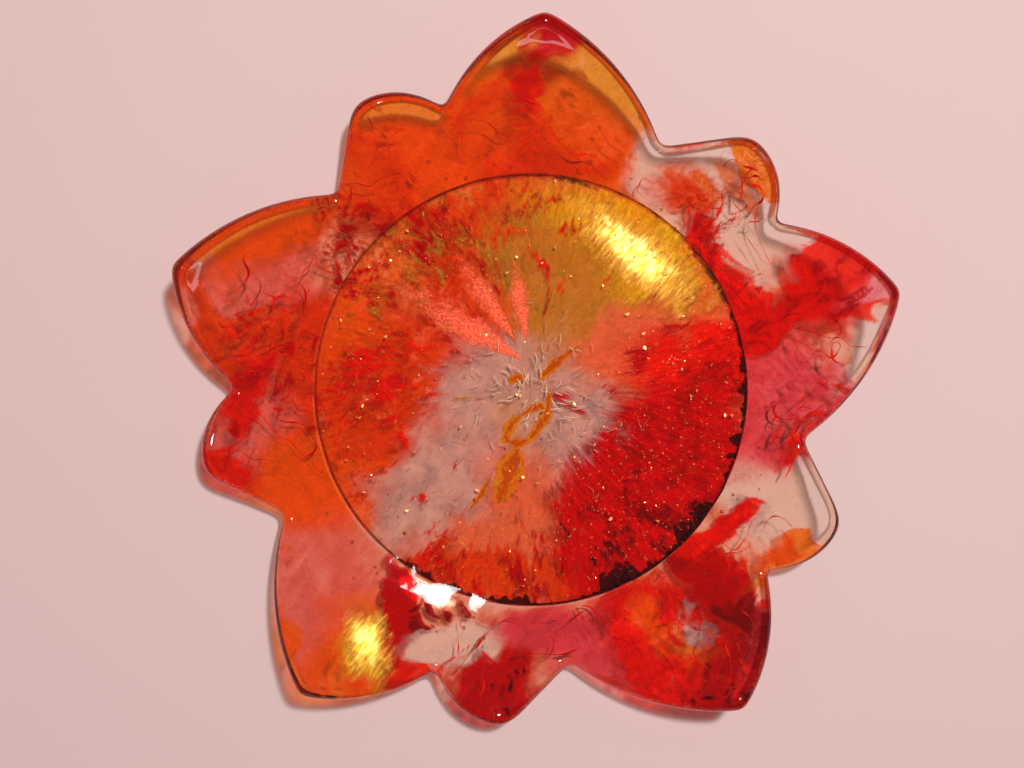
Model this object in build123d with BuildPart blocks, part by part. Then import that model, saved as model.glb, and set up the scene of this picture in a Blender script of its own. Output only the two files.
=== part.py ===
from build123d import *
from math import asin, atan2, cos, degrees, radians, sin, sqrt
import os

# A shallow bowl in the form of an open lotus flower, cast in clear resin over a round foot:
# a first, mica-filled pour with ink and mica bodies in its upper face. Millimetres.
# The origin is the centre of the face the bowl rests on, +Z is up, and one large petal
# points along +Y.

# Bowl wall: a shell of even thickness. Its inside leaves a small flat floor smoothly and
# sweeps up to the rim on one arc, about a circle that its outside shares.
floor_height = 7.0
floor_flat_radius = 58.0
inner_arc_radius = 96.0
wall_thickness = 6.5
wall_end_slope = 62.0       # degrees, past every rim, so that the outline trims it

# Petal outline, at the middle of the wall's thickness: each place is a distance from the
# axis and a turn, in degrees, from the large petal's tip. It goes round anticlockwise.
petal_pairs = 5
first_tip_angle = 90.0
large_tip = (134.9, 0.0)
large_left_flank = (125.2, 9.2)
outer_notch = (108.2, 19.0)
small_flank = (118.4, 25.6)
small_tip = (121.8, 34.0)
inner_notch = (101.4, 46.3)
large_right_flank = (121.6, 60.0)
large_tip_rounding = 5.0
small_tip_rounding = 11.0
notch_rounding = 4.5
trim_cone_height = 165.0    # the rim's end faces lean towards this height on the axis
trim_top = 60.0
rim_rounding = 3.0

# The foot: a flat disc whose upper edge meets the outside of the wall, with the dark ink
# that settled round that edge.
foot_radius = 81.0
foot_edge_rounding = 0.8
ink_line_depth = 0.9
ink_line_narrow = 0.5
ink_line_wide = 2.4
ink_line_wide_side = -38.0  # degrees, the side the ink ran to

# Ink and mica bodies in the upper face of the foot, as (x, y) places and sizes.
inlay_depth = 0.8
gold_centre = (32.0, 52.0)
gold_size = (54.0, 26.0)
gold_turn = -32.0
wedge_corners = [(-49.0, 41.0), (-40.0, 27.0), (-6.0, 15.0)]
wedge_rounding = 1.0
streak_ends = [(16.0, 17.0), (-7.0, 4.0)]
streak_width = 3.0
loop_centre = (-4.0, -12.5)
loop_size = (20.0, 11.0)
loop_hole = (11.0, 4.6)
loop_turn = 52.0
blob_centre = (-9.5, -34.0)
blob_size = (19.0, 7.4)
blob_turn = 78.0
thread_ends = [(-18.5, -33.0), (-25.0, -44.0)]
thread_width = 1.6

# Loose flakes and fibres, flush in the same face.
flake_count = 28
flake_radius = 1.3
flake_sides = 5
flake_depth = 0.3
flake_first_turn = 20.0     # degrees
fibre_count = 44
fibre_length = 7.0
fibre_width = 0.4
fibre_depth = 0.3
fibre_first_turn = 75.0     # degrees
golden_turn = 137.508       # degrees between neighbours of a sunflower spiral
spiral_start = 12.0
spiral_end = 72.0
inlay_gap = 0.6

pair_angle = 360.0 / petal_pairs
half_wall = wall_thickness / 2
arc_centre_r = floor_flat_radius
arc_centre_z = floor_height + inner_arc_radius
middle_arc_radius = inner_arc_radius + half_wall
outer_arc_radius = inner_arc_radius + wall_thickness
foot_height = arc_centre_z - sqrt(outer_arc_radius**2 - (foot_radius - arc_centre_r) ** 2)
foot_slope = degrees(asin((foot_radius - arc_centre_r) / outer_arc_radius))
rim_edge_reach = inner_notch[0] - wall_thickness
rim_edge_longest = 60.0     # the floor's and the foot's own edges are longer


def arc_point(arc_radius, slope):
    """The point of a wall arc with this slope in degrees, as (distance from axis, height)."""
    across = arc_radius * sin(radians(slope))
    down = arc_radius * cos(radians(slope))
    return (arc_centre_r + across, arc_centre_z - down)


def trim_point(place, pair, level):
    """A place of the petal outline, carried along the trimming cone to a level."""
    distance, turn = place
    rim_height = arc_centre_z - sqrt(middle_arc_radius**2 - (distance - arc_centre_r) ** 2)
    reach = distance * (trim_cone_height - level) / (trim_cone_height - rim_height)
    angle = radians(first_tip_angle + pair * pair_angle + turn)
    return (reach * cos(angle), reach * sin(angle))


def corners_at(outline, place, level):
    """The corners of the outline at one place of every petal pair."""
    reach = Vector(*trim_point(place, 0, level)).length
    return outline.vertices().filter_by(lambda v: abs(Vector(v.X, v.Y).length - reach) < 0.01)


def petal_outline(level):
    """The ten-petal outline where the trimming cone crosses a level."""
    with BuildSketch(Plane.XY.offset(level)) as outline:
        with BuildLine():
            for pair in range(petal_pairs):
                tip = trim_point(large_tip, pair, level)
                left_flank = trim_point(large_left_flank, pair, level)
                left_notch = trim_point(outer_notch, pair, level)
                blunt_flank = trim_point(small_flank, pair, level)
                blunt_tip = trim_point(small_tip, pair, level)
                right_notch = trim_point(inner_notch, pair, level)
                right_flank = trim_point(large_right_flank, pair, level)
                next_tip = trim_point(large_tip, pair + 1, level)
                ThreePointArc(tip, left_flank, left_notch)
                ThreePointArc(left_notch, blunt_flank, blunt_tip)
                Line(blunt_tip, right_notch)
                ThreePointArc(right_notch, right_flank, next_tip)
        make_face()
        for place in (outer_notch, inner_notch):
            fillet(corners_at(outline, place, level), notch_rounding)
        fillet(corners_at(outline, small_tip, level), small_tip_rounding)
        fillet(corners_at(outline, large_tip, level), large_tip_rounding)
    return outline.sketch


def spiral_places(count, first_turn):
    """Places spread evenly over the foot, as on a sunflower head: (x, y, angle)."""
    places = []
    for index in range(count):
        share = (index + 0.5) / count
        distance = sqrt(spiral_start**2 + (spiral_end**2 - spiral_start**2) * share)
        angle = radians(first_turn + index * golden_turn)
        places.append((distance * cos(angle), distance * sin(angle), degrees(angle)))
    return places


def is_rim_edge(edge):
    """Whether an edge of the wall runs along the petals' rim, out beyond the foot."""
    middle = edge.center()
    return Vector(middle.X, middle.Y).length > rim_edge_reach and edge.length < rim_edge_longest


def slot_between(ends, width):
    """A round-ended streak from one end point to the other."""
    start, finish = Vector(*ends[0]), Vector(*ends[1])
    run = finish - start
    with Locations((start + finish) / 2):
        SlotCenterToCenter(run.length, width, rotation=degrees(atan2(run.Y, run.X)))


def clear_places(places, reach, taken):
    """The places whose surroundings, out to a reach, hold none of the faces already taken."""
    return [
        place
        for place in places
        if all(Vertex(place[0], place[1], 0).distance_to(face) > reach for face in taken)
    ]


os.makedirs("parts", exist_ok=True)

# The outline of each ink and mica body in the foot.
with BuildSketch() as ink_line_outline:
    ink_shift = (ink_line_wide - ink_line_narrow) / 2
    wide_side = radians(ink_line_wide_side)
    Circle(foot_radius)
    with Locations((-ink_shift * cos(wide_side), -ink_shift * sin(wide_side))):
        Circle(foot_radius - (ink_line_wide + ink_line_narrow) / 2, mode=Mode.SUBTRACT)

with BuildSketch() as gold_outline:
    with Locations(gold_centre):
        Ellipse(gold_size[0] / 2, gold_size[1] / 2, rotation=gold_turn)

with BuildSketch() as wedge_outline:
    with BuildLine():
        Polyline(*wedge_corners, close=True)
    make_face()
    fillet(wedge_outline.vertices(), wedge_rounding)

with BuildSketch() as amber_outline:
    slot_between(streak_ends, streak_width)
    slot_between(thread_ends, thread_width)
    with Locations(blob_centre):
        Ellipse(blob_size[0] / 2, blob_size[1] / 2, rotation=blob_turn)
    with Locations(loop_centre):
        Ellipse(loop_size[0] / 2, loop_size[1] / 2, rotation=loop_turn)
        Ellipse(loop_hole[0] / 2, loop_hole[1] / 2, rotation=loop_turn, mode=Mode.SUBTRACT)

taken = [ink_line_outline.sketch, gold_outline.sketch, wedge_outline.sketch, amber_outline.sketch]

flake_spiral = spiral_places(flake_count, flake_first_turn)
flake_places = clear_places(flake_spiral, flake_radius + inlay_gap, taken)
with BuildSketch() as flake_outline:
    for x, y, angle in flake_places:
        with Locations((x, y)):
            RegularPolygon(flake_radius, flake_sides, rotation=angle)
taken.append(flake_outline.sketch)

fibre_spiral = spiral_places(fibre_count, fibre_first_turn)
fibre_places = clear_places(fibre_spiral, fibre_length / 2 + inlay_gap, taken)
with BuildSketch() as fibre_outline:
    for x, y, angle in fibre_places:
        with Locations((x, y)):
            Rectangle(fibre_length, fibre_width, rotation=angle)

inlays = {
    "dark_ink_line": (ink_line_outline.sketch, ink_line_depth),
    "gold_mica_patch": (gold_outline.sketch, inlay_depth),
    "coral_mica_wedge": (wedge_outline.sketch, inlay_depth),
    "amber_ink_pools": (amber_outline.sketch, inlay_depth),
    "foil_flakes": (flake_outline.sketch, flake_depth),
    "hair_fibres": (fibre_outline.sketch, fibre_depth),
}

# The clear casting: the turned wall and floor, trimmed to the petals, with a full-round rim.
with BuildPart() as petal_shell:
    with BuildSketch(Plane.XZ) as section:
        with BuildLine():
            foot_edge = arc_point(outer_arc_radius, foot_slope)
            outer_end = arc_point(outer_arc_radius, wall_end_slope)
            inner_end = arc_point(inner_arc_radius, wall_end_slope)
            floor_edge = arc_point(inner_arc_radius, 0)
            Line((0, foot_height), foot_edge)
            ThreePointArc(foot_edge, arc_point(outer_arc_radius, wall_end_slope / 2), outer_end)
            Line(outer_end, inner_end)
            ThreePointArc(inner_end, arc_point(inner_arc_radius, wall_end_slope / 2), floor_edge)
            Line(floor_edge, (0, floor_height))
            Line((0, floor_height), (0, foot_height))
        make_face()
    revolve(axis=Axis.Z)
    loft([petal_outline(0), petal_outline(trim_top)], ruled=True, mode=Mode.INTERSECT)
    wall_faces = petal_shell.faces().filter_by(GeomType.REVOLUTION)
    rim_edges = [edge for edge in wall_faces.edges() if is_rim_edge(edge)]
    fillet(rim_edges, rim_rounding)
petal_shell.part.label = "petal_shell"
export_step(petal_shell.part, "parts/petal_shell.step")

# The foot under it, with a pocket in its upper face for each inlay.
with BuildPart() as foot_layer:
    with BuildSketch():
        Circle(foot_radius)
    extrude(amount=foot_height)
    fillet(foot_layer.faces().sort_by(Axis.Z)[0].edges(), foot_edge_rounding)
    for outline, depth in inlays.values():
        with BuildSketch(Plane.XY.offset(foot_height)):
            add(outline)
        extrude(amount=-depth, mode=Mode.SUBTRACT)
foot_layer.part.label = "foot_layer"
export_step(foot_layer.part, "parts/foot_layer.step")

# The inlays themselves, each flush with the foot's upper face.
for name, (outline, depth) in inlays.items():
    with BuildPart() as inlay:
        with BuildSketch(Plane.XY.offset(foot_height)):
            add(outline)
        extrude(amount=-depth)
    inlay.part.label = name
    export_step(inlay.part, f"parts/{name}.step")

print("bowl", petal_shell.part.bounding_box())
print("flakes", len(flake_places), "fibres", len(fibre_places))
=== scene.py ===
# %% [markdown]
# # A lotus bowl of cast clear resin
# The bowl is one thick, clear casting in the form of an open lotus flower: five pointed
# petals and five blunt ones round a smooth floor, over a flat round foot. Its colour is
# all inside. Alcohol inks were dropped into the resin while it was wet, and they spread
# as veils; mica, foil and loose fibres lie over the foot, and a few air bubbles stayed.
# So the model is built in the same order: a clear body first, then what hangs in it.

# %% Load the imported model
import math

import bpy
import numpy as np
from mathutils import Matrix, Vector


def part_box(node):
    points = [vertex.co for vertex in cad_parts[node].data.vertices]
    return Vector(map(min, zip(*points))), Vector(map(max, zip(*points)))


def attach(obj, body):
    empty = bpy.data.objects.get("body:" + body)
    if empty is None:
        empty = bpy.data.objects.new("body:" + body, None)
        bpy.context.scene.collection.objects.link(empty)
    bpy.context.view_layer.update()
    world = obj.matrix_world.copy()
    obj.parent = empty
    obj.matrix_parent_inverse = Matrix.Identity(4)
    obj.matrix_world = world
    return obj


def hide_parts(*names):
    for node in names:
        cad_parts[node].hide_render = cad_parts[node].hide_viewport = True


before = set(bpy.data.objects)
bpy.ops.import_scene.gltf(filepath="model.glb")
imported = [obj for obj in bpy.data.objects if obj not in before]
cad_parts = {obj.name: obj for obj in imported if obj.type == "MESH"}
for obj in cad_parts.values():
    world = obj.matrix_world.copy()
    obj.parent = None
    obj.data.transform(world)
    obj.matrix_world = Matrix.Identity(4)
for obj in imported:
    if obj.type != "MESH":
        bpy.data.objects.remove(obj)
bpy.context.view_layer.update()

MM = 0.001
foot_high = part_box("foot_layer")[1]
foot_radius = foot_high.x
foot_height = foot_high.z

# %% [markdown]
# ## Three helpers
# Colours are written as sRGB hex, as a paint maker gives them, and turned linear in one
# place. A mesh is made from a grid of points that closes round the bowl. A material is
# made node by node, so one function adds a node with its settings and its links.


# %% Colour, mesh and node helpers
def linear(hex_code):
    """The linear RGBA of an sRGB hex colour."""
    parts = np.array([int(hex_code[i : i + 2], 16) for i in (1, 3, 5)]) / 255
    dark = parts / 12.92
    light = ((parts + 0.055) / 1.055) ** 2.4
    return tuple(np.where(parts <= 0.04045, dark, light)) + (1.0,)


def grid_faces(rows, columns, wrap_rows):
    """Quads between neighbouring rows of a grid whose columns close into rings."""
    row = np.arange(rows if wrap_rows else rows - 1)[:, None]
    column = np.arange(columns)[None, :]
    beside = (column + 1) % columns
    below = (row + 1) % rows
    corners = [row * columns + column, below * columns + column]
    corners += [below * columns + beside, row * columns + beside]
    return np.stack([np.broadcast_to(c, (row.size, columns)) for c in corners], -1).reshape(-1, 4)


def ring_mesh(name, points, poles=None, wrap_rows=False):
    """A mesh from points (rows, columns, 3). Each row is a closed ring; poles are the two
    points that close the first and the last ring, or the last ring joins the first."""
    rows, columns = points.shape[:2]
    vertices = points.reshape(-1, 3)
    faces = grid_faces(rows, columns, wrap_rows).tolist()
    if poles is not None:
        first, last = len(vertices), len(vertices) + 1
        vertices = np.vstack([vertices, poles])
        ring = np.arange(columns)
        beside = (ring + 1) % columns
        end = (rows - 1) * columns
        faces += np.stack([np.full(columns, first), ring, beside], 1).tolist()
        faces += np.stack([np.full(columns, last), end + beside, end + ring], 1).tolist()
    mesh = bpy.data.meshes.new(name)
    mesh.from_pydata(vertices, [], faces)
    mesh.shade_smooth()
    return mesh


def finish_piece(mesh, material, replaced=(), casts=True):
    """Makes the mesh a piece of the bowl: its material, its body, its CAD nodes.
    A see-through smear that would only dim the resin under it casts no shadow."""
    piece = bpy.data.objects.new(mesh.name, mesh)
    piece.visible_shadow = casts
    bpy.context.scene.collection.objects.link(piece)
    mesh.materials.append(material)
    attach(piece, "root")
    for node in replaced:
        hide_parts(node)
    print(piece.name, len(mesh.vertices), "points", len(mesh.polygons), "faces")
    return piece


def set_attribute(mesh, name, values):
    """Stores one number or one colour for every point of a mesh."""
    colour = values.ndim == 2
    kind = "FLOAT_COLOR" if colour else "FLOAT"
    attribute = mesh.attributes.new(name, kind, "POINT")
    attribute.data.foreach_set("color" if colour else "value", values.astype(np.float32).ravel())


def add(tree, kind, inputs=None, **settings):
    """Adds a node: settings are its own, inputs are socket values or links into them."""
    node = tree.nodes.new(kind)
    for key, value in settings.items():
        setattr(node, key, value)
    for socket, value in (inputs or {}).items():
        if isinstance(value, bpy.types.NodeSocket):
            tree.links.new(value, node.inputs[socket])
        else:
            node.inputs[socket].default_value = value
    return node


def new_material(name):
    """An empty material, its node tree and its output node."""
    material = bpy.data.materials.new(name)
    material.use_nodes = True
    material.node_tree.nodes.clear()
    return material, material.node_tree, add(material.node_tree, "ShaderNodeOutputMaterial")


# %% [markdown]
# ## The form
# The casting came out of a soft mould, so every edge is round. Its section is simple: a
# flat floor that turns smoothly into one long arc, and a wall of even thickness with a
# full-round rim. Its plan is the flower: arcs that meet in points, softened a little.
# One could box-model this, but the outline as a formula keeps all five pairs of petals
# alike, and the section as a formula keeps the wall even.

# %% The section of the wall
floor_height = 7.0 * MM
floor_flat_radius = 58.0 * MM
inner_arc_radius = 96.0 * MM
wall_thickness = 6.5 * MM
half_wall = wall_thickness / 2


def wall_height(distance, depth):
    """Height at a distance from the axis, at a depth under the inner surface: level out
    to the flat radius, then an arc about the circle that all depths share."""
    past = np.clip(distance - floor_flat_radius, 0, None)
    return floor_height + inner_arc_radius - np.sqrt((inner_arc_radius + depth) ** 2 - past**2)


def wall_normal(plan, depth):
    """The unit normal of the wall over points in plan, up and in towards the axis."""
    distance = abs(plan)
    lean = np.clip(distance - floor_flat_radius, 0, None) / (inner_arc_radius + depth)
    inward = -lean * plan / distance
    return np.stack([inward.real, inward.imag, np.sqrt(1 - lean**2)], -1)


def lift(plan, height):
    """Points in plan, as complex numbers, with their heights, as x, y, z."""
    return np.stack([plan.real, plan.imag, np.broadcast_to(height, plan.shape)], -1)


# %% The outline of the petals
petal_pairs = 5
pair_angle = 360 / petal_pairs
first_tip_angle = 90.0
large_tip = (134.9, 0.0)
large_left_flank = (125.2, 9.2)
outer_notch = (108.2, 19.0)
small_flank = (118.4, 25.6)
small_tip = (121.8, 34.0)
inner_notch = (101.4, 46.3)
large_right_flank = (121.6, 60.0)
body_columns = 720
veil_columns = 1000
point_softness = 2.3 * MM
blunt_softness = 4.6 * MM
outline_ease = 0.9982  # keeps the softened outline just inside the CAD outline's box


def plan_point(place, pair):
    """A place of the outline, given as distance in millimetres and turn in degrees."""
    distance, turn = place
    angle = math.radians(first_tip_angle + pair * pair_angle + turn)
    return distance * MM * complex(math.cos(angle), math.sin(angle))


def arc_through(start, middle, end, count=200):
    """The circle through three points, from the first to the last. Its centre comes from
    the two chords that leave the first point."""
    a, b = middle - start, end - start
    centre = start + (abs(a) ** 2 * b - abs(b) ** 2 * a) / (a.conjugate() * b - a * b.conjugate())
    sweep = np.angle((end - centre) / (start - centre))
    return centre + (start - centre) * np.exp(1j * np.linspace(0, sweep, count, endpoint=False))


def evenly_spaced(curve, count):
    """A closed curve again, with its points the same length apart."""
    closed = np.append(curve, curve[0])
    along = np.concatenate([[0], np.cumsum(abs(np.diff(closed)))])
    wanted = np.linspace(0, along[-1], count, endpoint=False)
    return np.interp(wanted, along, closed.real) + 1j * np.interp(wanted, along, closed.imag)


def softened(curve, reach):
    """Rounds a closed, evenly spaced curve: each point becomes the mean of its neighbours,
    weighted by a bell of this reach. Done on the curve's waves, where it is a product."""
    spacing = abs(curve[1] - curve[0])
    waves = np.fft.fftfreq(curve.size, spacing)
    return np.fft.ifft(np.fft.fft(curve) * np.exp(-2 * (np.pi * waves * reach) ** 2))


def petal_outline(columns):
    """The flower's outline at the middle of the wall, anticlockwise from the first tip."""
    stretches = []
    for pair in range(petal_pairs):
        tip = plan_point(large_tip, pair)
        left_notch = plan_point(outer_notch, pair)
        blunt = plan_point(small_tip, pair)
        right_notch = plan_point(inner_notch, pair)
        next_tip = plan_point(large_tip, pair + 1)
        stretches.append(arc_through(tip, plan_point(large_left_flank, pair), left_notch))
        stretches.append(arc_through(left_notch, plan_point(small_flank, pair), blunt))
        stretches.append(np.linspace(blunt, right_notch, 200, endpoint=False))
        stretches.append(arc_through(right_notch, plan_point(large_right_flank, pair), next_tip))
    sharp = evenly_spaced(np.concatenate(stretches), 8 * columns)
    pointed = softened(sharp, point_softness)
    blunted = softened(sharp, blunt_softness)
    turn = np.degrees(np.angle(sharp)) - first_tip_angle - small_tip[1]
    from_blunt = abs((turn + pair_angle / 2) % pair_angle - pair_angle / 2)
    bluntness = np.clip(1.5 - from_blunt / 6, 0, 1)
    return evenly_spaced(outline_ease * (pointed + (blunted - pointed) * bluntness), columns)


def rim_line(columns):
    """The centre line of the round rim, in plan and in space, with the directions out
    through the rim and up out of the wall. The rim's reach is half the wall inside the
    outline, and the two directions and the line itself are square to each other."""
    outline = petal_outline(columns)
    edge = lift(outline, wall_height(abs(outline), half_wall))
    along = np.roll(edge, -1, 0) - np.roll(edge, 1, 0)
    out = np.cross(along, wall_normal(outline, half_wall))
    out /= np.linalg.norm(out, axis=1)[:, None]
    plan = outline - half_wall * (out[:, 0] + 1j * out[:, 1])
    up = wall_normal(plan, half_wall)
    out -= (out * up).sum(1)[:, None] * up
    out /= np.linalg.norm(out, axis=1)[:, None]
    return plan, lift(plan, wall_height(abs(plan), half_wall)), out, up


# %% [markdown]
# ## Ripples
# Nothing here was machined. The resin's skin settled into very shallow waves, and the
# inks drifted. Both come from one function: a sum of a few plane waves in random but
# fixed directions, which is smooth, cheap and the same on every run.


# %% A smooth random field
def ripple(x, y, size, seed):
    """A smooth field from about -1 to 1 whose features are about this size: the mean of
    seven plane waves with random directions, lengths and starts."""
    random = np.random.default_rng(seed)
    total = np.zeros(np.shape(x))
    for direction, stretch, start in random.random((7, 3)):
        angle = 2 * np.pi * direction
        length = size * (0.7 + 0.8 * stretch)
        total += np.sin(2 * np.pi * ((x * np.cos(angle) + y * np.sin(angle)) / length + start))
    return total / 3.0


def drifted(x, y, seed):
    """Places moved by drifts of five sizes, as ink is carried by slow and fast eddies."""
    for size, reach in ((46, 4.0), (19, 2.2), (9, 1.3), (4.4, 0.8), (2.6, 0.4)):
        moved_x = x + reach * ripple(x, y, size, seed)
        moved_y = y + reach * ripple(x, y, size, seed + 1)
        x, y = moved_x, moved_y
        seed += 2
    return x, y


# %% [markdown]
# ## The clear casting
# Cast epoxy takes the mould's polish, so the surface is glass-smooth, with only the
# shallow waves of a hand pour. The skin is one closed surface: out over the floor, up the
# wall, round the rim, down the back, down the foot's edge and in to the middle again.

# %% The clear body's surface
rim_steps = 22
floor_rows = np.linspace(0.04, 0.40, 8)
wall_rows = np.linspace(0.43, 1.0, 56)
back_rows = 30
wave_height = 0.22 * MM
foot_round = 0.8 * MM


def clear_body():
    """Rings from the floor's middle to the foot's middle. Over the floor and wall each ring
    is the rim line drawn in towards the axis; round the rim it is a half circle; behind,
    it runs back to the foot's edge, down it, and in. The second result is how near each
    ring is to the rim, which is where the casting bends light away."""
    rim_plan, rim_centre, rim_out, rim_up = rim_line(body_columns)
    top_edge = rim_plan + half_wall * (rim_up[:, 0] + 1j * rim_up[:, 1])
    shares = np.concatenate([floor_rows, wall_rows])[:, None]
    top_plan = shares * top_edge
    wave = 0.5 + 0.3 * ripple(top_plan.real / MM, top_plan.imag / MM, 34, 11)
    wave = wave + 0.2 * ripple(top_plan.real / MM, top_plan.imag / MM, 13, 12)
    calm = np.clip((1 - shares) / 0.12, 0, 1)
    top = lift(top_plan, wall_height(abs(top_plan), 0) - wave_height * wave * calm)

    angles = np.linspace(90, -90, rim_steps)[1:-1, None, None] * np.pi / 180
    rim = rim_centre + half_wall * (np.cos(angles) * rim_out + np.sin(angles) * rim_up)

    back_edge = rim_plan - half_wall * (rim_up[:, 0] + 1j * rim_up[:, 1])
    way_out = back_edge / abs(back_edge)
    back_shares = np.linspace(0, 1, back_rows)[:, None]
    corner = foot_radius + 0.4 * MM
    back_plan = way_out * (abs(back_edge) * (1 - back_shares) + corner * back_shares)
    back = lift(back_plan, wall_height(abs(back_plan), wall_thickness))

    down = [(0.1 * MM, foot_height - 0.1 * MM), (0.0, foot_height - 0.5 * MM)]
    for angle in np.radians([0, 30, 60, 90]):
        down.append((foot_round * (math.cos(angle) - 1), foot_round * (1 - math.sin(angle))))
    foot = [lift(way_out * (foot_radius + out), height) for out, height in down]
    under = [lift(way_out * foot_radius * share, 0.0) for share in (0.9, 0.6, 0.3)]
    rings = np.concatenate([top, rim, back, foot, under])
    bend = np.zeros(len(rings))
    bend[len(top) : len(top) + len(rim)] = np.cos(angles.ravel()) ** 2
    return rings, bend


body_rings, body_bend = clear_body()
clear_mesh = ring_mesh("clear_casting", body_rings, [(0, 0, floor_height), (0, 0, 0)])
set_attribute(clear_mesh, "bend", np.append(np.repeat(body_bend, body_columns), (0, 0)))
print("rim top", round(float(body_rings[..., 2].max() / MM), 1), "mm")

# %% [markdown]
# ## Ink
# Each drop of ink spread into an oval that the wet resin then dragged about. It is
# described the way a pourer would: where it fell, how long and wide it ran, which way,
# which ink, how much it stains what lies beyond, how much it clouds, and how soft its edge
# is. Later drops lie over earlier ones. A crisp drop also dried with a darker shore. The
# result is kept on the points of the veil, because it is listed drop by drop and not made by
# noise.
# Where ink broke up, it left a spatter of small drops, and these fall at random.

# %% The inks and where they fell
INKS = {
    "orange": linear("#FF6E08"),
    "amber": linear("#F48C0C"),
    "olive": linear("#D0A034"),
    "rust": linear("#F24804"),
    "red": linear("#F81A04"),
    "scarlet": linear("#FF1408"),
    "crimson": linear("#D80408"),
    "wine": linear("#940308"),
    "black": linear("#3A0208"),
    "rose": linear("#F05468"),
    "mauve": linear("#F4847C"),
    "salmon": linear("#FA8456"),
    "lilac": linear("#CCB6BC"),
    "clear": linear("#FAEEEA"),
    # yellow is used only by the painted glow in the near left petal.
    "yellow": linear("#FFE23C"),
    "gold": linear("#F0B410"),
}

# x, y, length, width (mm), turn (degrees), ink, stain, cloud, softness of the edge
PETAL_DROPS = [
    (0, 100, 104, 110, 90, "amber", 0.84, 0.20, 0.4),
    (-30, 92, 40, 60, 100, "orange", 0.80, 0.28, 0.4),
    (34, 88, 30, 66, 60, "orange", 0.70, 0.22, 0.4),
    (0, 84, 60, 14, 0, "rust", 0.88, 0.40, 0.5),
    (-54, 92, 66, 60, 120, "orange", 0.84, 0.30, 0.3),
    (-60, 74, 56, 26, 140, "rust", 0.86, 0.42, 0.3),
    (-102, 40, 46, 46, 205, "mauve", 0.72, 0.16, 0.5),
    (-98, 56, 88, 18, 207, "orange", 0.90, 0.40, 0.3),
    (-84, 14, 44, 44, 140, "rust", 0.86, 0.44, 0.3),
    (-116, 20, 56, 15, 292, "rust", 0.90, 0.50, 0.14),
    (-100, 22, 26, 16, 320, "rust", 0.80, 0.40, 0.12),
    (-90, -6, 36, 40, 90, "rust", 0.88, 0.50, 0.2),
    (-108, -20, 40, 46, 190, "mauve", 0.78, 0.24, 0.2),
    (-112, -32, 60, 13, 328, "red", 0.92, 0.56, 0.2),
    (-106, -6, 30, 10, 250, "red", 0.88, 0.50, 0.14),
    (-82, -38, 40, 40, 220, "orange", 0.84, 0.40, 0.3),
    (-84, -84, 74, 44, 234, "mauve", 0.70, 0.14, 0.4),
    (-62, -98, 40, 34, 250, "orange", 0.74, 0.22, 0.4),
    (-70, -118, 74, 14, 4, "rust", 0.90, 0.50, 0.3),
    (-88, -96, 40, 9, 285, "orange", 0.84, 0.36, 0.3),
    # This yellow drop is painted light: the yellow glow where light gathers in the near left
    # petal, not ink.
    (-57, -94, 26, 19, 125, "yellow", 0.90, 0.30, 0.35),
    (-45, -88, 52, 15, 103, "crimson", 0.97, 0.80, 0.10),
    (-40, -108, 24, 16, 60, "red", 0.92, 0.62, 0.2),
    (-10, -112, 58, 36, 90, "crimson", 0.88, 0.46, 0.2),
    (-22, -92, 42, 16, 8, "clear", 0.40, 0.10, 0.16),
    (14, -92, 46, 22, 170, "rose", 0.80, 0.30, 0.3),
    (40, -92, 34, 40, 140, "rose", 0.76, 0.26, 0.3),
    (58, -92, 60, 44, 140, "red", 0.88, 0.42, 0.2),
    (60, -90, 44, 12, 140, "orange", 0.84, 0.34, 0.3),
    (66, -82, 15, 7, 100, "lilac", 0.50, 0.16, 0.12),
    (64, -106, 70, 22, 160, "scarlet", 0.92, 0.56, 0.2),
    (88, -102, 44, 50, 125, "crimson", 0.96, 0.62, 0.16),
    (94, -84, 18, 34, 80, "rose", 0.90, 0.46, 0.2),
    (74, -72, 56, 13, 142, "crimson", 0.97, 0.80, 0.10),
    (86, -84, 26, 14, 130, "wine", 0.92, 0.70, 0.2),
    (98, -38, 62, 46, 160, "clear", 0.18, 0.05, 0.12),
    (104, -60, 50, 13, 24, "orange", 0.80, 0.34, 0.14),
    (84, -44, 8, 30, 30, "lilac", 0.40, 0.10, 0.2),
    (72, -48, 36, 13, 38, "scarlet", 0.88, 0.52, 0.12),
    (96, 0, 64, 50, 175, "rose", 0.74, 0.24, 0.3),
    (122, 14, 32, 14, 62, "clear", 0.30, 0.06, 0.10),
    (112, -10, 40, 9, 42, "scarlet", 0.88, 0.52, 0.12),
    (66, 76, 60, 60, 225, "clear", 0.28, 0.06, 0.2),
    (54, 76, 26, 22, 300, "rust", 0.66, 0.26, 0.3),
    (68, 94, 34, 10, 350, "red", 0.86, 0.44, 0.10),
    (81, 79, 40, 12, 309, "orange", 0.90, 0.46, 0.10),
    (98, 62, 34, 12, 330, "clear", 0.20, 0.05, 0.10),
    (72, 42, 54, 18, 300, "scarlet", 0.88, 0.48, 0.10),
    (116, 49, 62, 44, 22, "scarlet", 0.97, 0.62, 0.09),
    (88, 28, 52, 18, 40, "scarlet", 0.95, 0.60, 0.09),
    (-3, 106, 46, 7, 92, "red", 0.92, 0.66, 0.45),
    (-1, 92, 20, 10, 90, "rust", 0.90, 0.56, 0.5),
    (3, 128, 18, 26, 90, "crimson", 0.94, 0.64, 0.4),
    (0, 122, 90, 7, 45, "rust", 0.84, 0.40, 0.4),
    (1, 131, 24, 26, 90, "crimson", 0.97, 0.80, 0.35),
    (124, 40, 26, 13, 20, "rose", 0.66, 0.24, 0.3),
]
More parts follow.
